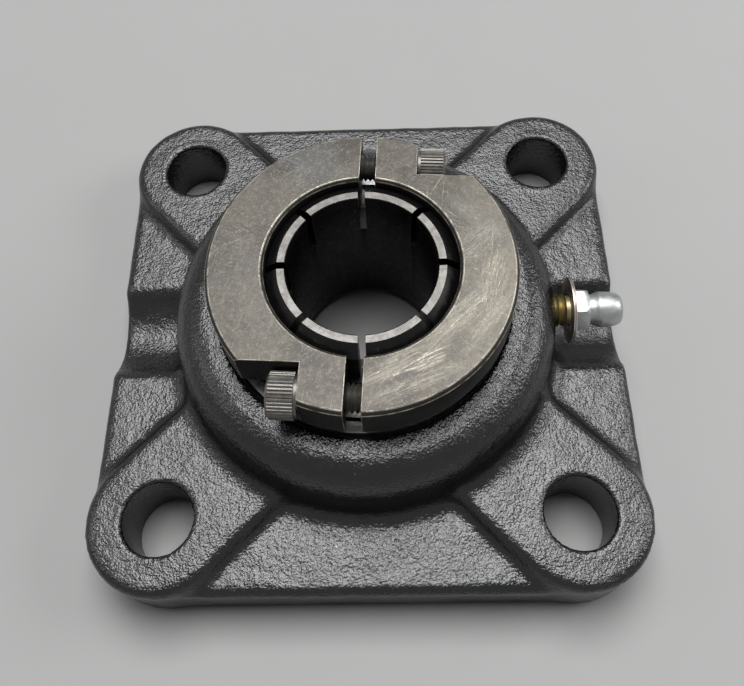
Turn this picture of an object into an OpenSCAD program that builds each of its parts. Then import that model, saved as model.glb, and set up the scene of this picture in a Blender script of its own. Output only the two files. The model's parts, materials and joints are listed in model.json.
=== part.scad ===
// Four-bolt flange bearing with a clamp collar.
// Millimetres. Origin: bore axis on the mounting face. +Z: up out of the face. +X: grease fitting.

/* [Flange] */
// Distance between bolt holes, both ways
bolt_pitch = 70; // [60:0.5:90]
// Bolt hole diameter
bolt_hole_d = 12; // [8:0.1:14]
// Radius of the round pad about each bolt hole, which is also the flange corner
corner_r = 12.5; // [10:0.1:16]
// Height of the bolt pads
pad_h = 13.4; // [11:0.1:16]
// Drop from the bolt pads to the webs between them
web_drop = 2.4; // [1:0.1:4]
// Round on the upper edges of the casting
edge_round = 2; // [1:0.1:3]
// Radius of the round channel from the flange edge to the hub
channel_r = 10; // [7:0.1:11]
// Fillet at the foot of the bolt pads
pad_fillet = 2; // [1:0.1:2.4]

/* [Hub] */
// Height of the bearing centre over the mounting face
seat_z = 16; // [15:0.1:20]
// Wall of the hub outside the spherical seat
hub_wall = 8.6; // [7:0.1:10]
// Radius of the rounded rim
rim_round = 6.5; // [4:0.1:7]
// How much the hub narrows from the web to the rim
hub_draft = 0.7; // [0.2:0.1:1.5]
// Height of the hub over the face of the outer ring
rim_over = 0.5; // [0.3:0.1:3]
// Fillet at the foot of the hub
foot_round = 3; // [1:0.1:3.5]

/* [Insert bearing] */
// Shaft bore
bore_d = 25; // [20:0.1:25.4]
// Diameter of the spherical outside of the outer ring
sphere_d = 52; // [51:0.1:56]
// Width of the outer ring
ring_w = 17; // [16:0.1:19]
// Ball diameter
ball_d = 7.7; // [7:0.1:8]
// Wall of the outer ring behind the raceway
race_wall = 2.4; // [2:0.1:3]
// Wall of the inner ring behind the raceway
bore_wall = 2.9; // [2:0.1:4]
// Height of the raceway shoulders towards the ball centres
shoulder_gap = 2.5; // [2.2:0.1:2.8]
// Height of the lower end of the inner ring over the mounting face
foot_gap = 1.7; // [0.6:0.1:3]
// Depth of the seal seats in the faces of the outer ring
seal_in = 3.1; // [2.8:0.1:4]
// Width of the ledge that the shrouds sit on
seal_ledge = 1; // [0.6:0.1:1.2]
// Sheet thickness of the shrouds and flingers
sheet_t = 0.7; // [0.5:0.1:0.8]
// Height of the rim of a shroud
shroud_w = 2; // [1.8:0.1:2.4]
// Thickness of the rubber seals
seal_t = 0.8; // [0.6:0.1:1]
// Width of the seal lip
lip_w = 1.6; // [1.2:0.1:2]
// Height of a flinger along the inner ring
flinger_w = 1.6; // [1.2:0.1:2]

/* [Clamp fingers] */
// Outer diameter of the inner ring under the collar
finger_d = 32; // [31:0.1:33]
// Outer diameter of the ground end face
end_face_d = 27.8; // [27:0.1:29]
// Depth of the chamfer round the end of the fingers
finger_chamfer = 1.8; // [1:0.1:3]
// Number of slots
finger_n = 8; // [4:1:12]
// Width of a slot
finger_slot = 1.2; // [0.8:0.1:2]
// Depth of a slot below the collar
slot_under = 1.8; // [0.5:0.1:3]

/* [Clamp collar] */
// Collar outer diameter
collar_d = 51.2; // [50:0.1:54]
// Collar width
collar_w = 8.6; // [8.4:0.1:10]
// Gap between the hub and the collar, room for the bearing to swivel
collar_gap = 2.8; // [2.5:0.1:4]
// How far the collar stands over the end of the inner ring
collar_over = 0.4; // [0:0.1:1]
// Width of the two slits between the halves
slit_w = 2.7; // [1.5:0.1:4]
// Chamfer on the collar edges
collar_chamfer = 0.6; // [0.3:0.1:1]
// Turn of the collar at rest
collar_turn = -3.5; // [-20:0.5:20]
// How far the screws lie outside the middle of the collar wall
screw_out = 0.6; // [0:0.05:0.8]
// Width of the tab the screw head bears on
tab_w = 7.15; // [6:0.05:8]

/* [Clamp screws] */
// Screw thread diameter
screw_d = 4.8; // [4:0.1:5]
// Screw length under the head
screw_len = 16; // [13:0.5:18]
// Thread pitch
screw_pitch = 0.8; // [0.6:0.1:1]
// Head diameter
head_d = 7.6; // [7:0.1:8]
// Head length
head_len = 4.8; // [4:0.1:5]
// Width across flats of the hexagon socket
socket_af = 4; // [3:0.1:4.5]
// Number of knurl grooves round the head
knurl_n = 40; // [24:1:48]

/* [Grease fitting] */
// Height of the fitting over the bearing centre
fitting_rise = 0.5; // [0:0.1:1]
// Thread diameter
fitting_d = 6; // [5:0.1:6.4]
// Width of the hexagon across flats
hex_af = 7; // [6.5:0.1:8]
// Length of the hexagon
hex_len = 2.8; // [2:0.1:4]
// Washer diameter
washer_d = 12; // [9:0.1:13]
// Washer thickness
washer_t = 0.6; // [0.4:0.1:1]
// Gap between the hub and the washer
washer_off = 2.6; // [1:0.1:4]
// Diameter of the neck
neck_d = 5.5; // [4.8:0.1:5.8]
// Largest diameter of the head
nipple_d = 6.4; // [6:0.1:6.6]
// Length of neck and head together
nipple_len = 6.2; // [6:0.1:8]
// Depth of the check ball behind the tip
check_in = 2.5; // [2.3:0.1:3]
// Depth of the foot of the spring behind the washer
spring_in = 3; // [2:0.1:4]

/* [Clearances] */
// Outer ring in the spherical seat
seat_clear = 0.17; // [0.12:0.01:0.3]
// Balls in the raceways
ball_clear = 0.25; // [0.2:0.01:0.35]
// Balls in the cage pockets
pocket_clear = 0.25; // [0.15:0.01:0.35]
// Seal lip over the inner ring
lip_clear = 0.15; // [0.1:0.01:0.25]
// Screws in their holes
screw_clear = 0.12; // [0.1:0.01:0.3]
// Threads and press seats that stay put
seat_gap = 0.05; // [0.02:0.01:0.08]

/* [Hidden] */
$fn = 96;
// rounds cross flat faces at a small angle
cross = 0.04;
past = 1;
web_h = pad_h - web_drop;
flange_w = bolt_pitch + 2 * corner_r;
web_w = flange_w - 0.4;
pad_reach = bolt_pitch / sqrt(2);
sphere_r = sphere_d / 2;
seat_r = sphere_r + seat_clear;
hub_r = sphere_r + hub_wall;
rim_r = hub_r - hub_draft;
hub_h = seat_z + ring_w / 2 + rim_over;
back_r = sphere_r - 1.2;
pad_in = back_r - 4;
gallery_r = seat_r + 0.8;
gallery_lo = seat_z - 0.6;
gallery_w = ring_w / 2 - 3;
grease_z = seat_z + fitting_rise;

bore_r = bore_d / 2;
ball_n = 9;
ball_r = ball_d / 2;
race_r = ball_r + ball_clear;
// room left over by the balls and the two walls, two thirds of it for the inner ring
room = sphere_r - race_wall - bore_r - bore_wall - 2 * race_r;
pitch_r = bore_r + bore_wall + race_r + room * 2 / 3;
outer_in_r = pitch_r + shoulder_gap;
inner_out_r = pitch_r - shoulder_gap;
seal_z = ring_w / 2 - seal_in;
seal_r = outer_in_r + seal_ledge;
flinger_z = seal_z + shroud_w + 0.1;
collar_z = hub_h + collar_gap;
collar_top = collar_z + collar_w;
ring_top = collar_top - collar_over;
step_z = collar_z - 0.8;
finger_r = finger_d / 2;

collar_r = collar_d / 2;
screw_z = collar_z + collar_w / 2;
screw_r = screw_d / 2;
head_r = head_d / 2;
screw_y = (finger_r + seat_gap + collar_r) / 2 + screw_out;
notch_y = screw_y - head_r - 0.1;
notch_x = slit_w / 2 + tab_w;
screw_tip = screw_len - notch_x - screw_clear;
thread_depth = screw_pitch * 0.6;

cage_t = 0.8;
cage_w = 2.1;
pocket_r = ball_r + pocket_clear;
rivet_r = 0.7;
rivet_head_r = 1.15;
rivet_head_t = 0.5;

fitting_r = fitting_d / 2;
fitting_in = gallery_r + 1;
washer_x = rim_r + washer_off;
hex_x = washer_x + washer_t;
neck_x = hex_x + hex_len;
nipple_x = neck_x + nipple_len;
check_r = 1.2;
chamber_r = check_r + 0.25;
check_x = nipple_x - check_in;
spring_x = washer_x - spring_in;
spring_turns = 6;
spring_wire = 0.4;

// Block profile with rounded upper corners
module edge_profile(w, h) {
  translate([edge_round - w / 2, 0])
    square([w - 2 * edge_round, h - cross]);
  translate([cross - w / 2, 0])
    square([w - 2 * cross, h - edge_round]);
  for (s = [-1, 1])
    translate([s * (w / 2 - edge_round), h - edge_round])
      circle(r = edge_round);
}

// Half of the same profile, for a round end
module end_profile(r, h) {
  square([r - edge_round, h - cross]);
  square([r - cross, h - edge_round]);
  translate([r - edge_round, h - edge_round])
    circle(r = edge_round);
}

// Hollow round between a wall at w and a floor at h
module foot_profile(w, h, r) {
  difference() {
    translate([w - 1, h - 1])
      square([1 + r, 1 + r]);
    translate([w + r - 3 * cross, h + r - 3 * cross])
      circle(r = r);
  }
}

// One bolt pad, a bar from the hub to a round end about the bolt hole
module bolt_pad() {
  translate([pad_in, 0, 0])
    rotate([90, 0, 90]) {
      linear_extrude(height = pad_reach - pad_in)
        edge_profile(2 * corner_r, pad_h);
      linear_extrude(height = pad_reach - pad_in - 1)
        for (s = [0, 1])
          mirror([s, 0])
            foot_profile(corner_r, web_h, pad_fillet);
    }
  translate([pad_reach, 0, 0])
    rotate(-90)
      rotate_extrude(angle = 180)
        end_profile(corner_r, pad_h);
}

module flange() {
  for (a = [0, 90])
    rotate(a)
      rotate([90, 0, 0])
        linear_extrude(height = bolt_pitch, center = true)
          edge_profile(web_w, web_h);
  for (a = [45 : 90 : 315])
    rotate(a)
      bolt_pad();
}

module hub() {
  rotate_extrude()
    union() {
      polygon([[15, 0], [hub_r, 0], [hub_r, web_h], [rim_r - cross, hub_h - rim_round],
        [rim_r - rim_round, hub_h - cross], [15, hub_h - cross]]);
      translate([rim_r - rim_round, hub_h - rim_round])
        circle(r = rim_round);
    }
}

// Cast fillet where the hub meets the webs
module foot_fillet() {
  rotate_extrude()
    foot_profile(hub_r - hub_draft / 2, web_h, foot_round);
}

// Round channels towards both sides
module channels() {
  for (s = [-1, 1])
    translate([s * (hub_r - 4), 0, grease_z])
      rotate([0, 90 * s, 0])
        cylinder(r = channel_r, h = flange_w / 2);
}

module housing() {
  color([0.06, 0.06, 0.065])
    difference() {
      union() {
        difference() {
          union() {
            flange();
            foot_fillet();
          }
          channels();
        }
        hub();
      }
      translate([0, 0, seat_z])
        sphere(r = seat_r);
      // open back and the two slots the insert goes in by
      translate([0, 0, -past])
        cylinder(r = back_r, h = seat_z - ring_w / 2 + past + 0.6);
      translate([-ring_w / 2 - 0.3, -seat_r - 0.3, -past])
        cube([ring_w + 0.6, 2 * seat_r + 0.6, seat_z + past]);
      // mouth chamfer
      translate([0, 0, hub_h - 0.9])
        cylinder(r1 = seat_r - 1.5, r2 = seat_r + 0.4, h = 1.8);
      // grease gallery and tapped hole
      translate([0, 0, gallery_lo])
        cylinder(r = gallery_r, h = gallery_w);
      translate([seat_r - 3, 0, grease_z])
        rotate([0, 90, 0])
          cylinder(r = fitting_r + seat_gap, h = hub_wall + 6);
      for (a = [45 : 90 : 315])
        rotate(a)
          translate([pad_reach, 0, -past])
            cylinder(d = bolt_hole_d, h = pad_h + 2 * past);
    }
}

// Ball track, shared by both rings
module race() {
  translate([0, 0, seat_z])
    rotate_extrude()
      translate([pitch_r, 0])
        circle(r = race_r);
}

module outer_ring() {
  color([0.62, 0.63, 0.65])
    difference() {
      intersection() {
        translate([0, 0, seat_z])
          sphere(r = sphere_r);
        translate([0, 0, seat_z - ring_w / 2])
          cylinder(r = sphere_r + 4, h = ring_w);
      }
      translate([0, 0, seat_z - ring_w])
        cylinder(r = outer_in_r, h = 2 * ring_w);
      race();
      for (s = [0, 1])
        translate([0, 0, seat_z])
          mirror([0, 0, s])
            translate([0, 0, seal_z])
              cylinder(r = seal_r, h = ring_w);
      // grease holes beside the track
      translate([0, 0, seat_z + seal_z - 1.2])
        rotate([0, 90, 0])
          cylinder(r = 0.9, h = 2 * sphere_r + 8, center = true);
    }
}

module inner_ring() {
  color([0.55, 0.56, 0.58])
    difference() {
      rotate_extrude()
        polygon([[bore_r, foot_gap + 0.5], [bore_r + 0.5, foot_gap], [inner_out_r - 0.5, foot_gap],
          [inner_out_r, foot_gap + 0.5], [inner_out_r, step_z], [finger_r, step_z],
          [finger_r, ring_top - finger_chamfer], [end_face_d / 2, ring_top],
          [bore_r + 0.15, ring_top], [bore_r, ring_top - 0.15]]);
      race();
      for (i = [0 : finger_n - 1])
        rotate(i * 360 / finger_n)
          translate([bore_r - past, -finger_slot / 2, collar_z - slot_under])
            cube([inner_out_r - bore_r + 2 * past, finger_slot, collar_w + slot_under + past]);
    }
}

// Puts a piece at the centre of a ball
module at_ball(i) {
  rotate((i - 1) * 360 / ball_n)
    translate([pitch_r, 0, seat_z])
      children();
}

module ball(i) {
  color([0.8, 0.81, 0.83])
    at_ball(i)
      sphere(r = ball_r);
}

// Lies along the radius through a ball, as wide as the cage
module pocket(i, r, w) {
  at_ball(i)
    rotate([0, 90, 0])
      cylinder(r = r, h = w, center = true);
}

// Upper half of the riveted cage: flat lands joined by pockets over the balls
module cage_half() {
  difference() {
    union() {
      translate([0, 0, seat_z])
        rotate_extrude()
          translate([pitch_r - cage_w / 2, 0])
            square([cage_w, cage_t]);
      for (i = [1 : ball_n])
        pocket(i, pocket_r + cage_t, cage_w);
    }
    for (i = [1 : ball_n])
      pocket(i, pocket_r, cage_w + 2 * past);
    for (i = [1 : ball_n])
      at_ball(i + 0.5)
        cylinder(r = rivet_r + seat_gap, h = 4 * cage_t, center = true);
    translate([0, 0, seat_z - 2 * pocket_r])
      cylinder(r = outer_in_r, h = 2 * pocket_r);
  }
}

module cage_half_front() {
  color([0.66, 0.66, 0.64])
    cage_half();
}

module cage_half_rear() {
  color([0.66, 0.66, 0.64])
    translate([0, 0, 2 * seat_z])
      mirror([0, 0, 1])
        cage_half();
}

module cage_rivets() {
  color([0.6, 0.6, 0.58])
    for (i = [1 : ball_n])
      at_ball(i + 0.5)
        rotate_extrude()
          polygon([[0, -cage_t - rivet_head_t], [rivet_head_r * 0.6, -cage_t - rivet_head_t],
            [rivet_head_r, -cage_t], [rivet_r, -cage_t], [rivet_r, cage_t], [rivet_head_r, cage_t],
            [rivet_head_r * 0.6, cage_t + rivet_head_t], [0, cage_t + rivet_head_t]]);
}

// Places a ring of section, drawn outwards from the bearing centre, on the front or the rear side
module side_ring(rear) {
  translate([0, 0, seat_z])
    mirror([0, 0, rear])
      rotate_extrude()
        children();
}

module shroud(rear) {
  color([0.58, 0.58, 0.56])
    side_ring(rear)
      polygon([[inner_out_r + lip_w, seal_z], [seal_r, seal_z], [seal_r, seal_z + shroud_w],
        [seal_r - sheet_t, seal_z + shroud_w], [seal_r - sheet_t, seal_z + sheet_t],
        [inner_out_r + lip_w, seal_z + sheet_t]]);
}

module seal(rear) {
  color([0.09, 0.09, 0.1])
    side_ring(rear)
      translate([0, seal_z + sheet_t])
        polygon([[seal_r - sheet_t, 0], [seal_r - sheet_t, seal_t], [inner_out_r + lip_w, seal_t],
          [inner_out_r + lip_w / 3, seal_t + 0.3], [inner_out_r + lip_clear, seal_t + 0.2],
          [inner_out_r + lip_w / 3, 0.3], [inner_out_r + lip_w, 0]]);
}

module flinger(rear) {
  color([0.5, 0.5, 0.48])
    side_ring(rear)
      translate([0, flinger_z])
        polygon([[inner_out_r, 0], [seal_r - sheet_t - 0.4, 0], [seal_r - sheet_t - 0.4, sheet_t],
          [inner_out_r + sheet_t, sheet_t], [inner_out_r + sheet_t, flinger_w], [inner_out_r, flinger_w]]);
}

// One collar half, on the -X side, with its tab at the -Y end
module collar_half() {
  difference() {
    rotate_extrude()
      polygon([[finger_r + seat_gap, collar_z], [collar_r - collar_chamfer, collar_z],
        [collar_r, collar_z + collar_chamfer], [collar_r, collar_top - collar_chamfer],
        [collar_r - collar_chamfer, collar_top], [finger_r + seat_gap + 0.5, collar_top],
        [finger_r + seat_gap, collar_top - 0.5]]);
    translate([-slit_w / 2, -collar_r - past, collar_z - past])
      cube([2 * collar_r, 2 * collar_r + 2 * past, collar_w + 2 * past]);
    translate([-notch_x - collar_r, -notch_y - collar_r, collar_z - past])
      cube([collar_r, collar_r, collar_w + 2 * past]);
    // clearance hole through the tab, blind tapped hole at the other end
    translate([0, -screw_y, screw_z])
      rotate([0, -90, 0])
        cylinder(r = screw_r + screw_clear, h = collar_r);
    translate([0, screw_y, screw_z])
      rotate([0, -90, 0])
        cylinder(r = screw_r + screw_clear, h = screw_tip + 0.6);
  }
}

module collar_left() {
  color([0.2, 0.2, 0.2])
    rotate(collar_turn)
      collar_half();
}

module collar_right() {
  color([0.2, 0.2, 0.2])
    rotate(collar_turn + 180)
      collar_half();
}

// Screw along +Z, head below zero, thread above it
module cap_screw() {
  turns = floor((screw_len - 2) / screw_pitch);
  start = screw_len - turns * screw_pitch;
  difference() {
    union() {
      translate([0, 0, -head_len])
        cylinder(r1 = head_r - 0.6, r2 = head_r - 0.2, h = 0.4);
      translate([0, 0, 0.4 - head_len])
        linear_extrude(height = head_len - 0.9)
          difference() {
            circle(r = head_r);
            for (i = [0 : knurl_n - 1])
              rotate(i * 360 / knurl_n)
                translate([head_r + 0.12, 0])
                  rotate(45)
                    square(0.42, center = true);
          }
      translate([0, 0, -0.5])
        cylinder(r = head_r - 0.35, h = 0.5);
      rotate_extrude()
        polygon(concat([[0, -0.2], [screw_r - thread_depth / 2, -0.2]],
          [for (i = [0 : turns - 1]) each [[screw_r - thread_depth, start + i * screw_pitch],
            [screw_r, start + (i + 0.5) * screw_pitch]]],
          [[screw_r - thread_depth, screw_len], [0, screw_len]]));
    }
    translate([0, 0, -head_len - past])
      cylinder(d = socket_af / cos(30), h = 2.5 + past, $fn = 6);
  }
}

module screw_lower() {
  color([0.24, 0.24, 0.24])
    rotate(collar_turn)
      translate([-notch_x - screw_clear, -screw_y, screw_z])
        rotate([0, 90, 0])
          cap_screw();
}

module screw_upper() {
  color([0.24, 0.24, 0.24])
    rotate(collar_turn + 180)
      translate([-notch_x - screw_clear, -screw_y, screw_z])
        rotate([0, 90, 0])
          cap_screw();
}

// Turns a piece drawn along Z onto the fitting axis
module on_fitting_axis() {
  translate([0, 0, grease_z])
    rotate([0, 90, 0])
      children();
}

// Points along the rounded side of the nipple head
function head_bow(from, to) = [for (i = [0 : 8])
  [nipple_d / 2 - (nipple_d / 2 - 1.5) * pow(i / 8, 3), from + (to - from) * sin(i * 90 / 8)]];

module grease_fitting() {
  turns = floor(washer_x - fitting_in);
  color([0.78, 0.79, 0.8])
    on_fitting_axis()
      difference() {
        union() {
          rotate_extrude()
            polygon(concat([[0, fitting_in]],
              [for (i = [0 : turns - 1]) each [[fitting_r - 0.5, fitting_in + i], [fitting_r, fitting_in + i + 0.5]]],
              [[fitting_r - 0.5, fitting_in + turns], [fitting_r - 0.2, hex_x + 0.2],
              [neck_d / 2, hex_x + 0.2], [neck_d / 2, neck_x + 0.9]],
              head_bow(neck_x + 2, nipple_x), [[0, nipple_x]]));
          intersection() {
            translate([0, 0, hex_x])
              rotate(30)
                cylinder(d = hex_af / cos(30), h = hex_len, $fn = 6);
            translate([0, 0, hex_x])
              cylinder(r1 = hex_af * 0.72, r2 = hex_af * 0.52, h = hex_len);
          }
        }
        translate([0, 0, fitting_in - past])
          cylinder(r = 0.7, h = spring_x - fitting_in + 2 * past);
        translate([0, 0, spring_x])
          cylinder(r = chamber_r, h = check_x + 0.3 - spring_x);
        translate([0, 0, check_x + 0.3])
          cylinder(r1 = chamber_r, r2 = 0.9, h = 0.9);
        translate([0, 0, check_x + 1])
          cylinder(r = 0.9, h = nipple_x - check_x);
      }
}

module fitting_washer() {
  color([0.72, 0.52, 0.42])
    on_fitting_axis()
      translate([0, 0, washer_x])
        difference() {
          cylinder(d = washer_d, h = washer_t);
          translate([0, 0, -past])
            cylinder(r = fitting_r + seat_gap, h = washer_t + 2 * past);
        }
}

module check_ball() {
  color([0.75, 0.76, 0.78])
    on_fitting_axis()
      translate([0, 0, check_x])
        sphere(r = check_r);
}

// Coil spring behind the check ball, flat wire
module check_spring() {
  length = check_x - check_r - 0.1 - spring_x;
  lap = 360 * spring_wire * spring_turns / length;
  out = chamber_r - 0.15;
  steps = 6;
  color([0.6, 0.6, 0.62])
    on_fitting_axis()
      translate([0, 0, spring_x])
        linear_extrude(height = length, twist = -360 * spring_turns, slices = 16 * spring_turns,
          $fn = 14)
          polygon(concat([for (i = [0 : steps]) out * [cos(i * lap / steps), sin(i * lap / steps)]],
            [for (i = [steps : -1 : 0]) (out - spring_wire) * [cos(i * lap / steps), sin(i * lap / steps)]]));
}

housing();
outer_ring();
inner_ring();
ball(1);  // ball_1
ball(2);  // ball_2
ball(3);  // ball_3
ball(4);  // ball_4
ball(5);  // ball_5
ball(6);  // ball_6
ball(7);  // ball_7
ball(8);  // ball_8
ball(9);  // ball_9
cage_half_front();
cage_half_rear();
cage_rivets();
shroud(0);  // shroud_front
shroud(1);  // shroud_rear
seal(0);  // seal_front
seal(1);  // seal_rear
flinger(0);  // flinger_front
flinger(1);  // flinger_rear
collar_left();
collar_right();
screw_lower();
screw_upper();
grease_fitting();
fitting_washer();
check_ball();
check_spring();
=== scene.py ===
"""Looks for a four-bolt flange bearing with a clamp collar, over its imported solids."""
import json
import math

import bmesh
import bpy
import numpy as np
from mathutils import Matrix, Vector, noise

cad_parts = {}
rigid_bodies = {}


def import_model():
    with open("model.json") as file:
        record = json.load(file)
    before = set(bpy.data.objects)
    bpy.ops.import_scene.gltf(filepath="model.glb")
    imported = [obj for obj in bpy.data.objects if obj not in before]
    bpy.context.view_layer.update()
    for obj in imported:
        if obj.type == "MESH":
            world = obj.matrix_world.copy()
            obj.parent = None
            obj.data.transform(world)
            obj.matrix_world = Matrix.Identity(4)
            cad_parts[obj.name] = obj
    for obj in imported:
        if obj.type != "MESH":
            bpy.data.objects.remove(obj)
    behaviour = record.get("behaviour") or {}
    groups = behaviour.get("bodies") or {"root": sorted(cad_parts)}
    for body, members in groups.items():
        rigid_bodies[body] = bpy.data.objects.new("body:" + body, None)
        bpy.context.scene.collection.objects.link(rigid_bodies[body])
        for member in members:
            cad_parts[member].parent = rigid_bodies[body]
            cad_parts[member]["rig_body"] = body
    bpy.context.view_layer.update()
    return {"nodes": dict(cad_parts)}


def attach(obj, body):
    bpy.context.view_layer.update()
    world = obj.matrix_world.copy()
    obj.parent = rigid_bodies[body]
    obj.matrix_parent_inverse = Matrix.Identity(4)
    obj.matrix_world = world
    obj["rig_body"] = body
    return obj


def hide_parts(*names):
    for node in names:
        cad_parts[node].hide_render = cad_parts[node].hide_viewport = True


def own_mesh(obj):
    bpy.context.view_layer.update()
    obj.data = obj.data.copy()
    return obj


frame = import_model()
NODES = frame["nodes"]
MM = 0.001

# Sizes of the casting, in millimetres
HOLE_AT, HOLE_R = 35.0, 6.0
PAD_R, PAD_H, PAD_FROM = 12.5, 13.4, 20.0
WEB_H, WEB_HALF, FLANGE_HALF = 11.0, 47.3, 47.45
HUB_R, RIM_R, HUB_H = 34.6, 33.9, 25.0
SEAT_Z, SEAT_R = 16.0, 26.17
BACK_R, BACK_H = 24.8, 8.1
LOADING_HALF, LOADING_DEPTH = 8.8, 0.3
MOUTH_R, MOUTH_FROM = 25.65, 24.1
GREASE_Z, GREASE_R, GREASE_FROM, CHANNEL_R = 16.5, 3.05, 23.0, 10.0

# Rounded edges and blends of the casting, in millimetres
WEB_ROUND, PAD_ROUND, RIM_ROUND, EDGE_ROUND = 2.0, 1.9, 6.5, 0.5
PLAN_BLEND, PAD_BLEND, CHANNEL_BLEND, HUB_BLEND = 1.0, 1.8, 1.4, 3.0
PLAN_INSET = 0.2

# The mouth's chamfer: its slope, the factor that makes it a distance, and how steeply it ends below
MOUTH_SLOPE, MOUTH_UNIT, MOUTH_END = 1.05, 0.69, 9.0

# The net that the casting's surface is found with, in millimetres
NET_LOW, NET_HIGH, NET_STEP = (-48.3, -48.3, -0.9), (48.3, 48.3, 25.9), 0.66

# Waves of the cast surface: their number per millimetre and height, and how deep the surface is sunk for them
CAST_WAVES, CAST_SINK = ((0.21, 0.10), (0.55, 0.05)), 0.09

# Places on the solids that the materials follow, in millimetres
BARE_R, PAINT_R = 26.2, 26.4
RING_TOP, COLLAR_FOOT, THREAD_END = 36.0, 27.8, 36.5

# Edges that turn by more than this are sharp
SHARP = math.radians(33)


# Casting
def soft_min(a, b, k):
    h = np.clip(0.5 + 0.5 * (b - a) / k, 0, 1)
    return b + (a - b) * h - k * h * (1 - h)


def soft_max(a, b, k):
    return -soft_min(-a, -b, k)


def corner(q, p):
    """Distance to a corner of two straight sides, from the distances to each side."""
    return np.minimum(np.maximum(q, p), 0) + np.hypot(np.maximum(q, 0), np.maximum(p, 0))


def raised(outline, z, top, r):
    """An outline drawn up to top, with the upper edge rounded by r."""
    return corner(outline + r, z - top + r) - r


def flat_box(x, y, a, b):
    return corner(np.abs(x) - a, np.abs(y) - b)


def casting(x, y, z):
    """Distance to the surface of the housing, below zero inside it."""
    web = np.minimum(flat_box(x, y, WEB_HALF, HOLE_AT), flat_box(x, y, HOLE_AT, WEB_HALF))
    body = raised(web, z, WEB_H, WEB_ROUND)
    plan = web
    for diagonal in (45, 135, 225, 315):
        c = math.cos(math.radians(diagonal))
        s = math.sin(math.radians(diagonal))
        along = x * c + y * s
        across = y * c - x * s
        end = along - np.clip(along, PAD_FROM, HOLE_AT * math.sqrt(2))
        pad = np.hypot(end, across) - PAD_R
        body = soft_min(body, raised(pad, z, PAD_H, PAD_ROUND), PAD_BLEND)
        plan = soft_min(plan, pad, PLAN_BLEND)
    body = np.maximum(body, np.maximum(plan + PLAN_INSET, flat_box(x, y, FLANGE_HALF, FLANGE_HALF)))
    body = soft_max(body, CHANNEL_R - np.hypot(y, z - GREASE_Z), CHANNEL_BLEND)
    out = np.hypot(x, y)
    wall = HUB_R - (HUB_R - RIM_R) * np.clip((z - WEB_H) / (HUB_H - RIM_ROUND - WEB_H), 0, 1)
    body = soft_min(body, raised(out - wall, z, HUB_H, RIM_ROUND), HUB_BLEND)
    for i in (-1, 1):
        for j in (-1, 1):
            body = soft_max(body, HOLE_R - np.hypot(x - i * HOLE_AT, y - j * HOLE_AT), EDGE_ROUND)
    body = soft_max(body, -z, EDGE_ROUND)
    # seat, open back, loading slots, mouth and grease gallery
    body = np.maximum(body, SEAT_R - np.hypot(out, z - SEAT_Z))
    body = np.maximum(body, -np.maximum(out - BACK_R, z - BACK_H))
    slot = np.maximum(np.abs(x) - LOADING_HALF, np.abs(y) - SEAT_R - LOADING_DEPTH)
    body = np.maximum(body, -np.maximum(slot, z - SEAT_Z))
    mouth = (MOUTH_R + (z - HUB_H) * MOUTH_SLOPE - out) * MOUTH_UNIT
    body = np.maximum(body, mouth - np.maximum(0, MOUTH_FROM - z) * MOUTH_END)
    return np.maximum(body, -np.maximum(np.hypot(y, z - GREASE_Z) - GREASE_R, GREASE_FROM - x))


def surface_net(field, low, high, step):
    """Corner points and four-sided faces of the surface where the field is zero."""
    low = np.array(low)
    axes = [np.arange(a, b + step, step) for a, b in zip(low, high)]
    d = field(*np.meshgrid(*axes, indexing="ij"))
    inside = d < 0
    # a cell's point is the mean of the places where the surface cuts the cell's edges
    n = [k - 1 for k in d.shape]
    total = np.zeros(n + [3])
    count = np.zeros(n)
    for c in np.ndindex(2, 2, 2):
        for ax in range(3):
            if c[ax]:
                continue
            e = [v + (k == ax) for k, v in enumerate(c)]
            da, db = (d[tuple(slice(o, o + m) for o, m in zip(q, n))] for q in (c, e))
            cut = (da < 0) != (db < 0)
            t = np.where(cut, da / np.where(cut, da - db, 1), 0)
            for k in range(3):
                total[..., k] += np.where(cut, c[k] + (t if k == ax else 0), 0)
            count += cut
    live = count > 0
    index = np.full(n, -1)
    index[live] = np.arange(live.sum())
    points = low + (np.argwhere(live) + total[live] / count[live][:, None]) * step
    # a face joins the four cells around each edge of the net that the surface cuts
    faces = []
    for ax in range(3):
        u, v = (ax + 1) % 3, (ax + 2) % 3
        first = [slice(1, -1)] * 3
        second = [slice(1, -1)] * 3
        first[ax] = slice(0, -1)
        second[ax] = slice(1, None)
        a, b = inside[tuple(first)], inside[tuple(second)]
        at = np.argwhere(a != b)
        at[:, u] += 1
        at[:, v] += 1
        ring = []
        for du, dv in ((1, 1), (0, 1), (0, 0), (1, 0)):
            q = at.copy()
            q[:, u] -= du
            q[:, v] -= dv
            ring.append(index[q[:, 0], q[:, 1], q[:, 2]])
        quad = np.stack(ring, 1)
        turned = ~a[a != b]
        quad[turned] = quad[turned][:, ::-1]
        faces.append(quad)
    return points, np.concatenate(faces)


def slope_of(field, p):
    e = 0.03
    g = [(field(*(p + s).T) - field(*(p - s).T)) / (2 * e) for s in np.eye(3) * e]
    return np.stack(g, 1)


def settle(field, p):
    """Moves points onto the surface, in three steps of limited length."""
    longest, least_slope = 0.3, 0.3
    for _ in range(3):
        g = slope_of(field, p)
        d = np.clip(field(*p.T), -longest, longest)
        p = p - (d / np.maximum((g * g).sum(1), least_slope))[:, None] * g
    return p


def even_out(p, faces):
    """Moves points towards the middle of their neighbours."""
    a = np.concatenate([faces[:, k] for k in range(4)])
    b = np.concatenate([faces[:, (k + 1) % 4] for k in range(4)])
    near = np.zeros_like(p)
    n = np.zeros(len(p))
    for s, t in ((a, b), (b, a)):
        np.add.at(near, s, p[t])
        np.add.at(n, s, 1)
    return p * 0.5 + near / n[:, None] * 0.5


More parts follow.
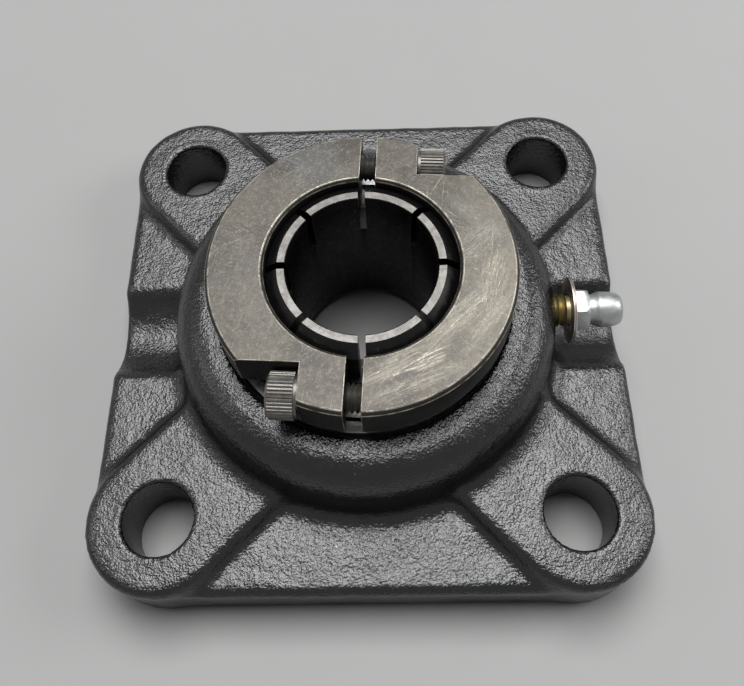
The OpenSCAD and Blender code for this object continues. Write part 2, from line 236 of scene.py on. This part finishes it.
def fade_in(value, start, width):
    return np.clip((value - start) / width, 0, 1)


# Pieces in place of solids
def stand_in(node, mesh, material):
    """A piece with its own mesh, in place of a solid."""
    obj = bpy.data.objects.new(mesh.name, mesh)
    bpy.context.scene.collection.objects.link(obj)
    mesh.materials.append(material)
    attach(obj, NODES[node]["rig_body"])
    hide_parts(node)
    return obj


def cast_housing(material):
    """The housing with its blended, wavy cast surface, smooth on the machined faces."""
    p, faces = surface_net(casting, NET_LOW, NET_HIGH, NET_STEP)
    for _ in range(2):
        p = settle(casting, even_out(p, faces))
    g = slope_of(casting, p)
    g /= np.linalg.norm(g, axis=1)[:, None]
    hole = np.hypot(np.abs(p[:, 0]) - HOLE_AT, np.abs(p[:, 1]) - HOLE_AT)
    seat = np.hypot(np.hypot(p[:, 0], p[:, 1]), p[:, 2] - SEAT_Z)
    cast = fade_in(p[:, 2], 0.4, 1.5) * fade_in(hole, HOLE_R + 0.5, 0.8) * fade_in(seat, 27.2, 0.8)
    waves = np.array([sum(noise.noise(Vector(v) * often) * high for often, high in CAST_WAVES) for v in p])
    p = p + g * (cast * (waves - CAST_SINK))[:, None]
    mesh = bpy.data.meshes.new("housing_casting")
    mesh.from_pydata((p * MM).tolist(), [], faces.tolist())
    mesh.polygons.foreach_set("use_smooth", [True] * len(mesh.polygons))
    mesh.update()
    stand_in("housing", mesh, material)


def joined_mesh(node):
    """An editable copy of a solid's mesh, with corner points that coincide made one."""
    bm = bmesh.new()
    bm.from_mesh(NODES[node].data)
    bmesh.ops.remove_doubles(bm, verts=bm.verts, dist=1e-6)
    return bm


def mesh_of(bm, name):
    """A mesh from an edited copy, without the normals that came with the solid."""
    mesh = bpy.data.meshes.new(name)
    bm.to_mesh(mesh)
    bm.free()
    mesh.attributes.remove(mesh.attributes["custom_normal"])
    return mesh


def clean_ball(node, material):
    """A copy of a ball without the faces of no area at its poles, in place of it."""
    mesh = mesh_of(joined_mesh(node), node + "_clean")
    mesh.polygons.foreach_set("use_smooth", [True] * len(mesh.polygons))
    stand_in(node, mesh, material)


def dressed(node, material, width):
    """A copy of a solid with its edges broken by a width in millimetres, in place of it."""
    bm = joined_mesh(node)
    bmesh.ops.dissolve_limit(bm, angle_limit=math.radians(1), verts=bm.verts, edges=bm.edges)
    edge = bm.faces.layers.float.new("edge")
    sharp = {e for e in bm.edges if len(e.link_faces) == 2 and e.calc_face_angle() > SHARP}
    for f in bm.faces:
        f.smooth = not all(e in sharp for e in f.edges)
    outer = [e for e in bm.edges if e in sharp and e.is_convex]
    made = bmesh.ops.bevel(bm, geom=outer, offset=width * MM, offset_type="OFFSET", segments=2, profile=0.6,
                           affect="EDGES", clamp_overlap=True)
    for f in made["faces"]:
        f[edge] = 1.0
        f.smooth = True
    smooth = [f.smooth for f in bm.faces]
    mesh = mesh_of(bm, node + "_dressed")
    # marking the sharp edges makes every face smooth, so the flat ones are set again after it
    mesh.set_sharp_from_angle(angle=SHARP)
    mesh.polygons.foreach_set("use_smooth", smooth)
    stand_in(node, mesh, material)


def give(material, *names):
    """Puts a material on solids that are shown as they are."""
    for name in names:
        mesh = NODES[name].data
        mesh.materials.clear()
        mesh.materials.append(material)


# Node helpers
class Shader:
    """A material with one Principled shader, its nodes in object space."""

    def __init__(self, name, colour, metallic, roughness):
        self.mat = bpy.data.materials.new(name)
        self.mat.use_nodes = True
        self.tree = self.mat.node_tree
        self.bsdf = self.tree.nodes["Principled BSDF"]
        self.set("Base Color", (*colour, 1))
        self.set("Metallic", metallic)
        self.set("Roughness", roughness)
        self.at = self.add("ShaderNodeTexCoord").outputs["Object"]
        self.last_bump = None

    def set(self, name, value):
        """Gives an input of the Principled shader a constant or a node's output."""
        self.put(self.bsdf.inputs[name], value)

    def put(self, socket, value):
        if isinstance(value, bpy.types.NodeSocket):
            self.tree.links.new(value, socket)
        else:
            socket.default_value = value

    def add(self, kind, inputs=None, **settings):
        n = self.tree.nodes.new(kind)
        for key, value in settings.items():
            setattr(n, key, value)
        for key, value in (inputs or {}).items():
            self.put(n.inputs[key], value)
        return n

    def math(self, op, a, b=0.0, c=0.0):
        return self.add("ShaderNodeMath", {0: a, 1: b, 2: c}, operation=op).outputs[0]

    def times(self, a, b):
        return self.math("MULTIPLY", a, b)

    def most(self, a, b):
        return self.math("MAXIMUM", a, b)

    def point(self, x, y, z):
        return self.add("ShaderNodeCombineXYZ", {0: x, 1: y, 2: z}).outputs[0]

    def moved(self, scale=(1, 1, 1), turn=(0, 0, 0), shift=(0, 0, 0), at=None):
        inputs = {"Vector": at or self.at, "Scale": scale, "Rotation": turn, "Location": shift}
        return self.add("ShaderNodeMapping", inputs).outputs[0]

    def noise(self, scale, detail, rough, at=None, bend=0.0):
        inputs = {"Vector": at or self.at, "Scale": scale, "Detail": detail}
        inputs.update({"Roughness": rough, "Distortion": bend})
        return self.add("ShaderNodeTexNoise", inputs).outputs["Fac"]

    def span(self, value, lo, hi, to_lo=0.0, to_hi=1.0):
        """A smooth step from to_lo to to_hi, as value goes from lo to hi."""
        inputs = {"Value": value, "From Min": lo, "From Max": hi, "To Min": to_lo, "To Max": to_hi}
        return self.add("ShaderNodeMapRange", inputs, interpolation_type="SMOOTHSTEP").outputs[0]

    def near(self, value, target, width):
        """One where value is at target, falling to zero over width on both sides."""
        return self.span(self.math("ABSOLUTE", self.math("SUBTRACT", value, target)), 0.0, width, 1.0, 0.0)

    def edge(self):
        """One on the broken edges of a dressed solid."""
        return self.add("ShaderNodeAttribute", attribute_name="edge").outputs["Fac"]

    def xyz(self, at=None):
        n = self.add("ShaderNodeSeparateXYZ", {0: at or self.at})
        return n.outputs[0], n.outputs[1], n.outputs[2]

    def upward(self):
        """The upright part of the surface's normal."""
        return self.xyz(self.add("ShaderNodeNewGeometry").outputs["Normal"])[2]

    def radius(self):
        x, y, _ = self.xyz()
        return self.math("SQRT", self.math("ADD", self.times(x, x), self.times(y, y)))

    def mix(self, fac, a, b):
        n = self.add("ShaderNodeMix", {"Factor": fac}, data_type="RGBA")
        for socket, value in ((n.inputs[6], a), (n.inputs[7], b)):
            self.put(socket, value if isinstance(value, bpy.types.NodeSocket) else (*value, 1))
        return n.outputs[2]

    def bump(self, height, depth, strength):
        n = self.add("ShaderNodeBump", {"Height": height, "Strength": strength, "Distance": depth})
        if self.last_bump:
            self.put(n.inputs["Normal"], self.last_bump)
        self.last_bump = n.outputs[0]
        self.set("Normal", self.last_bump)


# Paint on the casting
def paint():
    s = Shader("black_paint_on_casting", (0.008, 0.008, 0.009), 0.0, 0.2)
    s.set("Specular IOR Level", 0.8)
    broad = s.noise(90, 4, 0.6)
    # Upward faces only: a grey that is partly dust and partly painted sheen, and pale flecks that are painted
    # glints on the grain
    flat = s.span(s.upward(), 0.6, 1.0)
    dust_and_sheen = s.times(s.span(s.noise(240, 5, 0.7), 0.5, 0.74), flat)
    painted_glints = s.times(s.span(s.noise(900, 3, 0.6, s.moved(shift=(0.3, 0.1, 0.2))), 0.7, 0.76), flat)
    tone = s.mix(broad, (0.003, 0.003, 0.0035), (0.007, 0.007, 0.007))
    tone = s.mix(s.times(dust_and_sheen, 0.25), tone, (0.085, 0.082, 0.077))
    tone = s.mix(s.times(painted_glints, 0.6), tone, (0.25, 0.245, 0.23))
    # the seat is bare metal
    middle = {0: s.at, 1: (0, 0, SEAT_Z * MM)}
    out = s.add("ShaderNodeVectorMath", middle, operation="DISTANCE").outputs["Value"]
    bare = s.span(out, BARE_R * MM, PAINT_R * MM, 1.0, 0.0)
    s.set("Base Color", s.mix(bare, tone, (0.30, 0.30, 0.31)))
    s.set("Metallic", bare)
    s.set("Roughness", s.span(broad, 0.3, 0.7, 0.14, 0.23))
    s.bump(s.noise(2700, 2, 0.5), 0.00013, 0.9)
    s.bump(s.noise(1050, 2, 0.5), 0.0002, 0.75)
    return s.mat


# Scuffs on the collar, in millimetres: middle, direction in degrees, half length, half width, strength
SCUFFS = ((5.9, -17.6, 26, 8.0, 1.9, 1.0), (15.5, -9.5, 38, 8.5, 2.6, 0.8), (21.0, -3.5, 75, 7.0, 2.6, 0.9),
          (10.2, -17.4, 24, 3.6, 1.1, 1.8), (19.0, 3.5, 40, 6.0, 3.2, 0.5), (8.5, -20.6, 22, 9.0, 1.5, 0.8),
          (20.0, -10.5, 52, 8.0, 1.4, 0.9), (-20.6, 6.8, -32, 4.5, 2.6, 0.25),
          (-12.0, 17.0, 28, 4.5, 2.0, 0.2), (17.5, 9.5, -50, 5.0, 1.6, 0.35),
          (-18.5, -9.5, 70, 4.0, 1.6, 0.2))
# Scratches on the collar, in millimetres: middle, direction in degrees, half length, strength
SCRATCHES = ((13.0, 15.0, 58, 3.6, 0.5), (14.5, -11.0, 44, 8.0, 0.9), (9.5, -16.5, 27, 5.5, 1.0),
             (19.5, -2.0, -22, 3.0, 0.35), (17.0, 0.5, 10, 3.2, 0.3), (6.5, -18.8, 20, 4.0, 0.8),
             (-21.0, 4.5, 24, 2.6, 0.25), (21.5, 4.0, 84, 4.0, 0.35), (15.0, 9.0, -38, 2.4, 0.3))
# Directions of the faint scratches all over the collar, in radians
FAINT_TURNS = (0.5, -0.9, 1.7)


def collar_patina(s, broad, fine):
    """Dark, blotchy steel, paler towards the right from wear and from painted light."""
    tone = s.mix(s.span(broad, 0.34, 0.66), (0.040, 0.036, 0.031), (0.101, 0.091, 0.076))
    brown = s.span(s.noise(160, 4, 0.65, s.moved(shift=(0.5, 0.2, 0))), 0.54, 0.7, 0.0, 0.55)
    tone = s.mix(brown, tone, (0.086, 0.070, 0.052))
    blue = s.span(s.noise(60, 3, 0.6, s.moved(shift=(0.1, 0.7, 0))), 0.52, 0.7, 0.0, 0.5)
    tone = s.mix(blue, tone, (0.072, 0.075, 0.078))
    x, y, _ = s.xyz()
    # wear and painted light: the right half is made blotchily paler
    right = s.span(s.math("MULTIPLY_ADD", y, -0.2, x), 0.008, 0.028)
    wear_and_painted_light = s.times(right, s.span(broad, 0.3, 0.7, 0.25, 0.8))
    tone = s.mix(wear_and_painted_light, tone, (0.167, 0.151, 0.123))
    mottle = s.noise(1500, 4, 0.7, s.moved(shift=(0.2, 0.4, 0)))
    tone = s.mix(s.span(mottle, 0.5, 0.7, 0.0, 0.22), tone, (0.25, 0.232, 0.198))
    tone = s.mix(s.span(mottle, 0.5, 0.32, 0.0, 0.35), tone, (0.034, 0.030, 0.026))
    tone = s.mix(s.span(fine, 0.55, 0.72, 0.0, 0.6), tone, (0.22, 0.208, 0.182))
    return s.mix(s.span(fine, 0.45, 0.3, 0.0, 0.6), tone, (0.028, 0.026, 0.024))


def collar_wear(s):
    """Strength of the haze and of the bright lines, from scuffs and scratches."""
    x, y, _ = s.xyz()

    def lane(mx, my, turn):
        """Millimetres along and across a direction, from a point on the collar."""
        c = math.cos(math.radians(turn))
        d = math.sin(math.radians(turn))
        along = s.math("MULTIPLY_ADD", x, c / MM, s.math("MULTIPLY_ADD", y, d / MM, -(mx * c + my * d)))
        across = s.math("MULTIPLY_ADD", x, -d / MM, s.math("MULTIPLY_ADD", y, c / MM, mx * d - my * c))
        return along, across

    haze = marks = 0.0
    for mx, my, turn, half, wide, much in SCUFFS:
        u, v = lane(mx, my, turn)
        far_u = s.math("POWER", s.math("DIVIDE", u, half), 2)
        far_v = s.math("POWER", s.math("DIVIDE", v, wide), 2)
        fade = s.times(s.span(s.math("ADD", far_u, far_v), 0.05, 1.1, 1.0, 0.0), much)
        streaks = s.point(s.times(u, 0.2), s.times(v, 2.2), mx)
        haze = s.most(haze, s.times(s.span(s.noise(1.0, 5, 0.7, streaks, 0.6), 0.36, 0.66), fade))
        marks = s.most(marks, s.times(s.span(s.noise(3.2, 3, 0.6, streaks), 0.54, 0.68), fade))
    broken = s.span(s.noise(800, 3, 0.6), 0.38, 0.58, 0.15, 1.0)
    for mx, my, turn, half, much in SCRATCHES:
        u, v = lane(mx, my, turn)
        bend = s.math("MULTIPLY_ADD", s.times(u, u), 0.012, v)
        line = s.times(s.span(s.math("ABSOLUTE", bend), 0.04, 0.15, much, 0.0),
                       s.span(s.math("ABSOLUTE", u), half * 0.3, half, 1.0, 0.0))
        marks = s.most(marks, s.times(line, broken))
    for turn in FAINT_TURNS:
        streaks = s.moved((70, 4200, 70), shift=(turn, 2 * turn, 0), at=s.moved(turn=(0, 0, turn)))
        line = s.times(s.span(s.noise(1.0, 1, 0.5, streaks), 0.69, 0.74),
                       s.span(s.noise(130, 2, 0.5, s.moved(shift=(turn, 0, 0))), 0.5, 0.62))
        marks = s.most(marks, s.times(line, 0.25))
    return haze, marks


def collar_rust(s):
    """Strength of the rust along the foot of the right half."""
    x, y, z = s.xyz()
    foot = s.times(s.near(z, (COLLAR_FOOT + 0.5) * MM, 0.0014), s.span(x, 0.004, 0.009))
    return s.times(foot, s.times(s.span(y, -0.008, -0.013), s.span(s.noise(600, 4, 0.7), 0.44, 0.58)))


def collar_steel():
    s = Shader("dark_collar_steel", (0.11, 0.105, 0.097), 0.6, 0.42)
    broad = s.noise(95, 5, 0.62)
    fine = s.noise(2600, 3, 0.65)
    haze, marks = collar_wear(s)
    tone = collar_patina(s, broad, fine)
    tone = s.mix(s.times(haze, 0.4), tone, (0.31, 0.285, 0.235))
    tone = s.mix(s.times(marks, 0.6), tone, (0.47, 0.435, 0.36))
    # painted shade: faces that don't face upward get a much darker tone than the tops
    painted_shade_sides = s.mix(broad, (0.014, 0.0135, 0.013), (0.034, 0.032, 0.029))
    tone = s.mix(s.span(s.upward(), 0.6, 0.95), painted_shade_sides, tone)
    # bright wear along the edges
    patchy = s.span(s.noise(420, 4, 0.7), 0.34, 0.62, 0.15, 0.9)
    tone = s.mix(s.times(s.edge(), patchy), tone, (0.52, 0.48, 0.40))
    s.set("Base Color", s.mix(collar_rust(s), tone, (0.16, 0.07, 0.03)))
    s.set("Roughness", s.span(s.math("MULTIPLY_ADD", broad, 0.8, fine), 0.6, 1.2, 0.34, 0.5))
    s.bump(fine, 0.00005, 0.6)
    s.bump(marks, 0.00002, 0.4)
    return s.mat


# Other materials
def ring_steel():
    """Dark steel with a ground end face, turned in fine rings."""
    s = Shader("clamp_ring_steel", (0.04, 0.04, 0.042), 0.8, 0.35)
    z = s.xyz()[2]
    end = s.span(z, (RING_TOP - 0.12) * MM, (RING_TOP - 0.05) * MM)
    face = s.times(end, s.span(s.upward(), 0.9, 0.98))
    turning = s.noise(1.0, 2, 0.5, s.point(s.times(s.radius(), 9000), 0.3, 0.1))
    cloud = s.noise(300, 4, 0.65)
    lip = s.mix(cloud, (0.014, 0.014, 0.015), (0.034, 0.033, 0.032))
    # painted shade: more than about 1.6 mm below the end face, down the bore, the steel turns almost black
    dark = s.mix(s.span(z, (RING_TOP - 2.6) * MM, (RING_TOP - 1.6) * MM), (0.008, 0.008, 0.008), lip)
    dark = s.mix(s.span(s.noise(1100, 3, 0.6), 0.66, 0.74, 0.0, 0.7), dark, (0.16, 0.13, 0.08))
    ground = s.mix(s.times(s.math("ADD", turning, cloud), 0.5), (0.045, 0.044, 0.043), (0.155, 0.147, 0.138))
    s.set("Base Color", s.mix(face, dark, ground))
    s.set("Roughness", s.span(s.noise(900, 3, 0.6), 0.3, 0.7, 0.26, 0.42))
    s.bump(turning, 0.00001, 0.5)
    return s.mat


def bright_steel(name, low, high, rough):
    s = Shader(name, high, 1.0, rough)
    s.set("Base Color", s.mix(s.noise(400, 5, 0.6), low, high))
    s.set("Roughness", s.span(s.noise(1500, 3, 0.6), 0.3, 0.7, rough * 0.75, rough * 1.3))
    return s.mat


def screw_steel():
    s = Shader("oxide_black_screw", (0.16, 0.152, 0.14), 0.8, 0.4)
    cloud = s.noise(700, 4, 0.6)
    s.set("Base Color", s.mix(cloud, (0.09, 0.085, 0.078), (0.26, 0.245, 0.225)))
    s.set("Roughness", s.span(cloud, 0.3, 0.7, 0.34, 0.5))
    s.bump(s.noise(4200, 2, 0.5), 0.00002, 0.5)
    return s.mat


def rubber():
    s = Shader("black_seal_rubber", (0.02, 0.02, 0.021), 0.0, 0.6)
    s.set("Base Color", s.mix(s.noise(500, 4, 0.6), (0.014, 0.014, 0.015), (0.032, 0.031, 0.03)))
    s.bump(s.noise(1800, 3, 0.6), 0.00004, 0.5)
    return s.mat


def zinc():
    """Pale zinc plate, yellow on the thread."""
    s = Shader("zinc_plated_fitting", (0.6, 0.61, 0.6), 1.0, 0.35)
    thread = s.span(s.xyz()[0], (THREAD_END - 0.1) * MM, (THREAD_END + 0.1) * MM, 1.0, 0.0)
    plate = s.mix(s.noise(650, 4, 0.6), (0.38, 0.40, 0.39), (0.62, 0.64, 0.62))
    plate = s.mix(s.times(s.edge(), 0.6), plate, (0.8, 0.81, 0.79))
    s.set("Base Color", s.mix(thread, plate, (0.42, 0.35, 0.18)))
    s.set("Roughness", s.span(s.noise(1400, 3, 0.6), 0.3, 0.7, 0.36, 0.52))
    return s.mat


def copper():
    s = Shader("copper_toned_washer", (0.5, 0.42, 0.38), 1.0, 0.35)
    plate = s.mix(s.noise(800, 4, 0.6), (0.36, 0.28, 0.25), (0.56, 0.48, 0.44))
    s.set("Base Color", s.mix(s.times(s.edge(), 0.8), plate, (0.78, 0.75, 0.72)))
    s.set("Roughness", s.span(s.noise(1500, 3, 0.6), 0.3, 0.7, 0.28, 0.45))
    return s.mat


# Background and floor
BACKGROUND, BACKGROUND_LEVEL, WORLD_LIGHT = (0.97, 0.98, 1.0), 0.35, 0.1
FLOOR_HALF, FLOOR_FADE = 1.5, (0.4, 1.3)


def background_rays(tree):
    """One for the rays that show a background: those of the camera, of gloss and of glass."""
    path = tree.nodes.new("ShaderNodeLightPath")
    seen = path.outputs["Is Camera Ray"]
    for ray in ("Is Glossy Ray", "Is Transmission Ray"):
        both = tree.nodes.new("ShaderNodeMath")
        both.operation = "MAXIMUM"
        tree.links.new(seen, both.inputs[0])
        tree.links.new(path.outputs[ray], both.inputs[1])
        seen = both.outputs[0]
    return seen


def pale_floor():
    """Plain grey, which fades into the background far off."""
    s = Shader("pale_floor", (0.42, 0.42, 0.416), 0.0, 0.8)
    far = s.span(s.radius(), *FLOOR_FADE)
    grey = s.mix(s.noise(40, 4, 0.6), (0.41, 0.41, 0.406), (0.43, 0.43, 0.426))
    s.set("Base Color", s.mix(far, grey, (0.0, 0.0, 0.0)))
    s.set("Emission Color", (*BACKGROUND, 1))
    s.set("Emission Strength", s.times(s.times(far, BACKGROUND_LEVEL), background_rays(s.tree)))
    return s.mat


# The part
cast_housing(paint())
collar_mat = collar_steel()
for name in ("collar_left", "collar_right"):
    dressed(name, collar_mat, 0.14)
dressed("inner_ring", ring_steel(), 0.1)
give(screw_steel(), "screw_lower", "screw_upper")
give(rubber(), "seal_front", "seal_rear")
dressed("grease_fitting", zinc(), 0.12)
dressed("fitting_washer", copper(), 0.15)
# painted shade: the outer ring's ground steel is given a darker colour than ground steel has
give(bright_steel("ground_ring_steel", (0.20, 0.20, 0.205), (0.30, 0.30, 0.305), 0.4), "outer_ring")
ball_mat = bright_steel("polished_ball_steel", (0.6, 0.6, 0.61), (0.72, 0.72, 0.73), 0.1)
for name in ["check_ball"] + ["ball_%d" % i for i in range(1, 10)]:
    clean_ball(name, ball_mat)
sheet_mat = bright_steel("pressed_sheet_steel", (0.36, 0.355, 0.34), (0.5, 0.495, 0.48), 0.35)
give(sheet_mat, "cage_half_front", "cage_half_rear", "cage_rivets")
dull_mat = bright_steel("dull_sheet_steel", (0.10, 0.098, 0.093), (0.19, 0.186, 0.178), 0.45)
give(dull_mat, "shroud_front", "shroud_rear", "flinger_front", "flinger_rear")

# The check spring, as a piece with its own copy of the coil's mesh
coil = NODES["check_spring"].data.copy()
coil.name = "check_spring_coil"
coil.materials.clear()
spring = stand_in("check_spring", coil, sheet_mat)
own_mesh(spring)

# Floor, light and camera
grid = bmesh.new()
bmesh.ops.create_grid(grid, x_segments=2, y_segments=2, size=FLOOR_HALF)
floor_mesh = bpy.data.meshes.new("floor")
grid.to_mesh(floor_mesh)
grid.free()
floor_mesh.materials.append(pale_floor())
floor = bpy.data.objects.new("floor", floor_mesh)
bpy.context.scene.collection.objects.link(floor)

# Lights, in metres: place, width and height, radiance
LIGHT_AIM = Vector((0, 0, 0.01))
LIGHTS = {"ceiling_light": ((-0.02, 0.46, 1.45), (0.95, 0.98), 7.6),
          "right_light": ((0.48, 0.08, 0.36), (0.26, 0.26), 5.0),
          "left_light": ((-0.48, 0.02, 0.40), (0.24, 0.24), 1.6)}
for name, (place, size, radiance) in LIGHTS.items():
    lamp = bpy.data.lights.new(name, "AREA")
    lamp.shape = "RECTANGLE"
    lamp.size, lamp.size_y = size
    lamp.energy = radiance * math.pi * size[0] * size[1]
    lamp_obj = bpy.data.objects.new(name, lamp)
    lamp_obj.location = place
    lamp_obj.rotation_mode = "QUATERNION"
    lamp_obj.rotation_quaternion = (LIGHT_AIM - Vector(place)).to_track_quat("-Z", "Y")
    bpy.context.scene.collection.objects.link(lamp_obj)

world = bpy.data.worlds.new("studio")
bpy.context.scene.world = world
world.use_nodes = True
back = world.node_tree.nodes["Background"]
back.inputs["Color"].default_value = (*BACKGROUND, 1)
level = world.node_tree.nodes.new("ShaderNodeMapRange")
level.inputs["To Min"].default_value = WORLD_LIGHT
level.inputs["To Max"].default_value = BACKGROUND_LEVEL
world.node_tree.links.new(background_rays(world.node_tree), level.inputs["Value"])
world.node_tree.links.new(level.outputs[0], back.inputs["Strength"])

# The photo's camera: place in millimetres, turn in degrees, focal length and shift in pixels of its width
IMAGE_WIDTH, FOCAL, SHIFT = 744, 849, -100
CAMERA_AT, CAMERA_TURN = (5.03, -65.30, 157.21), (29.66, 1.825, -0.483)
cam = bpy.data.cameras.new("camera")
cam.sensor_width = 36
cam.lens = FOCAL * cam.sensor_width / IMAGE_WIDTH
cam.shift_y = SHIFT / IMAGE_WIDTH
cam.clip_start, cam.clip_end = 0.005, 20
cam_obj = bpy.data.objects.new("camera", cam)
cam_obj.location = Vector(CAMERA_AT) * MM
cam_obj.rotation_euler = [math.radians(a) for a in CAMERA_TURN]
bpy.context.scene.collection.objects.link(cam_obj)
bpy.context.scene.camera = cam_obj
bpy.context.scene.view_settings.view_transform = "Standard"
